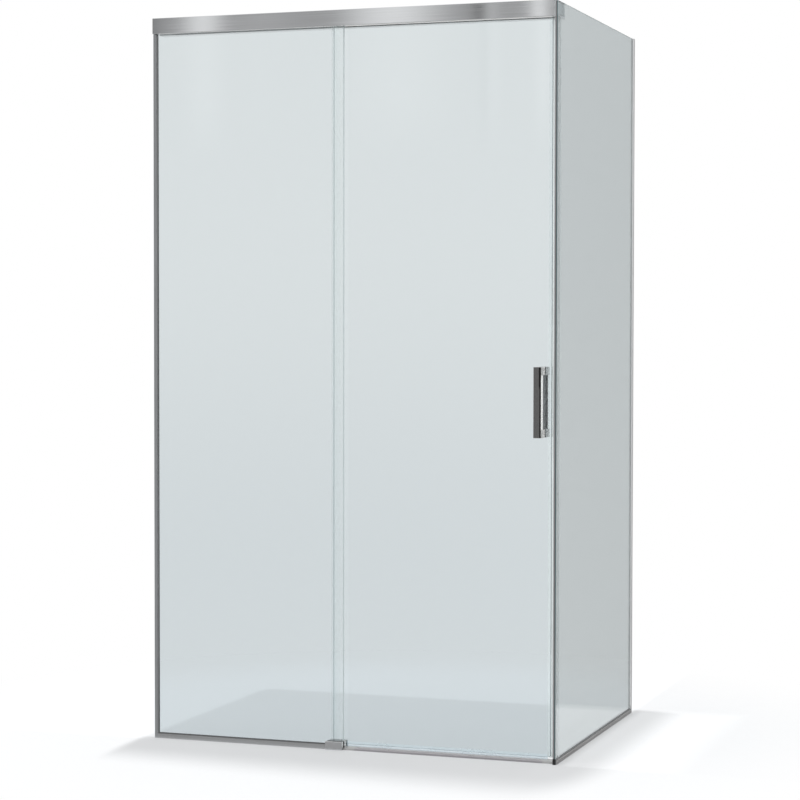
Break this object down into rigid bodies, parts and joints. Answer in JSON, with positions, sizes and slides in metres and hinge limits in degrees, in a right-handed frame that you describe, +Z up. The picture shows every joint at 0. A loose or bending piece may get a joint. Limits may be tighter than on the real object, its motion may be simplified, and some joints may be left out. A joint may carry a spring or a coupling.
{
  "type": "shower enclosure with sliding door",
  "caption": "Corner shower enclosure: fixed glass and side glass under a header, and a glass door that slides on rollers behind the fixed glass, with back-to-back pulls.",
  "frame": {"origin": "middle of the footprint's bounding box, on the surface that the enclosure stands on", "axes": "+X along the front to the right, towards the side glass; +Y inwards, from the front to the rear wall; +Z up"},
  "size_m": [1.1634, 0.858, 2],
  "materials": {
    "glass": "clear tempered glass with a faint green tint",
    "brushed_steel": "brushed along the header",
    "satin_aluminium": "satin anodised",
    "polished_block": "polished",
    "chrome": "polished",
    "stainless": "satin",
    "dark_gasket": "dark grey, matte",
    "setting_rubber": "black, matte",
    "clear_seal": "translucent clear vinyl",
    "magnet": "grey magnetic strip",
    "white_nylon": "white nylon",
    "light_cap": "light grey moulded",
    "black_cap": "black moulded"
  },
  "bodies": {
    "enclosure": {"wall_channel_left": "satin_aluminium", "wall_gaskets_left": "dark_gasket", "fixed_glass": "glass", "bottom_profile_short": "satin_aluminium", "bottom_profile_long": "satin_aluminium", "bottom_gaskets": "dark_gasket", "fixed_glass_blocks": "setting_rubber", "header_glass_blocks": "setting_rubber", "side_glass_blocks": "setting_rubber", "guide_body": "polished_block", "guide_liner": "white_nylon", "guide_pads": "dark_gasket", "threshold_profile": "satin_aluminium", "threshold_cap_left": "light_cap", "threshold_cap_right": "light_cap", "side_glass": "glass", "wall_channel_rear": "satin_aluminium", "wall_gaskets_rear": "dark_gasket", "rear_channel_foot": "light_cap", "side_bottom_profile": "satin_aluminium", "side_bottom_gaskets": "dark_gasket", "side_profile_end_cap": "black_cap", "strike_seal": "clear_seal", "strike_magnet": "magnet", "header_body": "satin_aluminium", "header_fascia": "brushed_steel", "header_gaskets": "dark_gasket", "header_infill": "satin_aluminium", "track_rail": "stainless", "header_wall_bracket": "stainless", "header_bracket_screws": "stainless", "header_end_plate": "brushed_steel", "header_end_screws": "stainless", "header_bond_pad": "clear_seal", "stop_block_left": "stainless", "stop_block_right": "stainless", "stop_buffers": "dark_gasket", "stop_screws": "stainless"},
    "door": {"door_glass": "glass", "glass_sleeves": "white_nylon", "carriage_left": "stainless", "carriage_right": "stainless", "carriage_gaskets": "dark_gasket", "clamp_discs": "stainless", "clamp_bolts": "stainless", "anti_lift_pads": "white_nylon", "roller_axles": "stainless", "door_bottom_seal": "clear_seal", "door_overlap_seal": "clear_seal", "door_magnetic_seal": "clear_seal", "door_magnet": "magnet", "handle_outer": "chrome", "handle_inner": "chrome", "handle_studs": "stainless", "handle_gaskets": "clear_seal"},
    "roller_1_wheel": {"roller_1": "white_nylon"},
    "roller_2_wheel": {"roller_2": "white_nylon"},
    "roller_3_wheel": {"roller_3": "white_nylon"},
    "roller_4_wheel": {"roller_4": "white_nylon"}
  },
  "joints": [
    {"name": "door_slide", "type": "slide", "parent": "enclosure", "child": "door", "axis": [-1, 0, 0], "range_m": [0, 0.495]},
    {"name": "roller_1_spin", "type": "hinge", "parent": "door", "child": "roller_1_wheel", "pos_m": [-0.00675, -0.368, 1.977], "axis": [0, 1, 0], "range_deg": [-2800, 10]},
    {"name": "roller_2_spin", "type": "hinge", "parent": "door", "child": "roller_2_wheel", "pos_m": [0.05325, -0.368, 1.977], "axis": [0, 1, 0], "range_deg": [-2800, 10]},
    {"name": "roller_3_spin", "type": "hinge", "parent": "door", "child": "roller_3_wheel", "pos_m": [0.44525, -0.368, 1.977], "axis": [0, 1, 0], "range_deg": [-2800, 10]},
    {"name": "roller_4_spin", "type": "hinge", "parent": "door", "child": "roller_4_wheel", "pos_m": [0.50525, -0.368, 1.977], "axis": [0, 1, 0], "range_deg": [-2800, 10]}
  ],
  "couplings": [
    {"joint": "roller_1_spin", "follows": "door_slide", "rad_per_m": -97.087},
    {"joint": "roller_2_spin", "follows": "door_slide", "rad_per_m": -97.087},
    {"joint": "roller_3_spin", "follows": "door_slide", "rad_per_m": -97.087},
    {"joint": "roller_4_spin", "follows": "door_slide", "rad_per_m": -97.087}
  ]
}
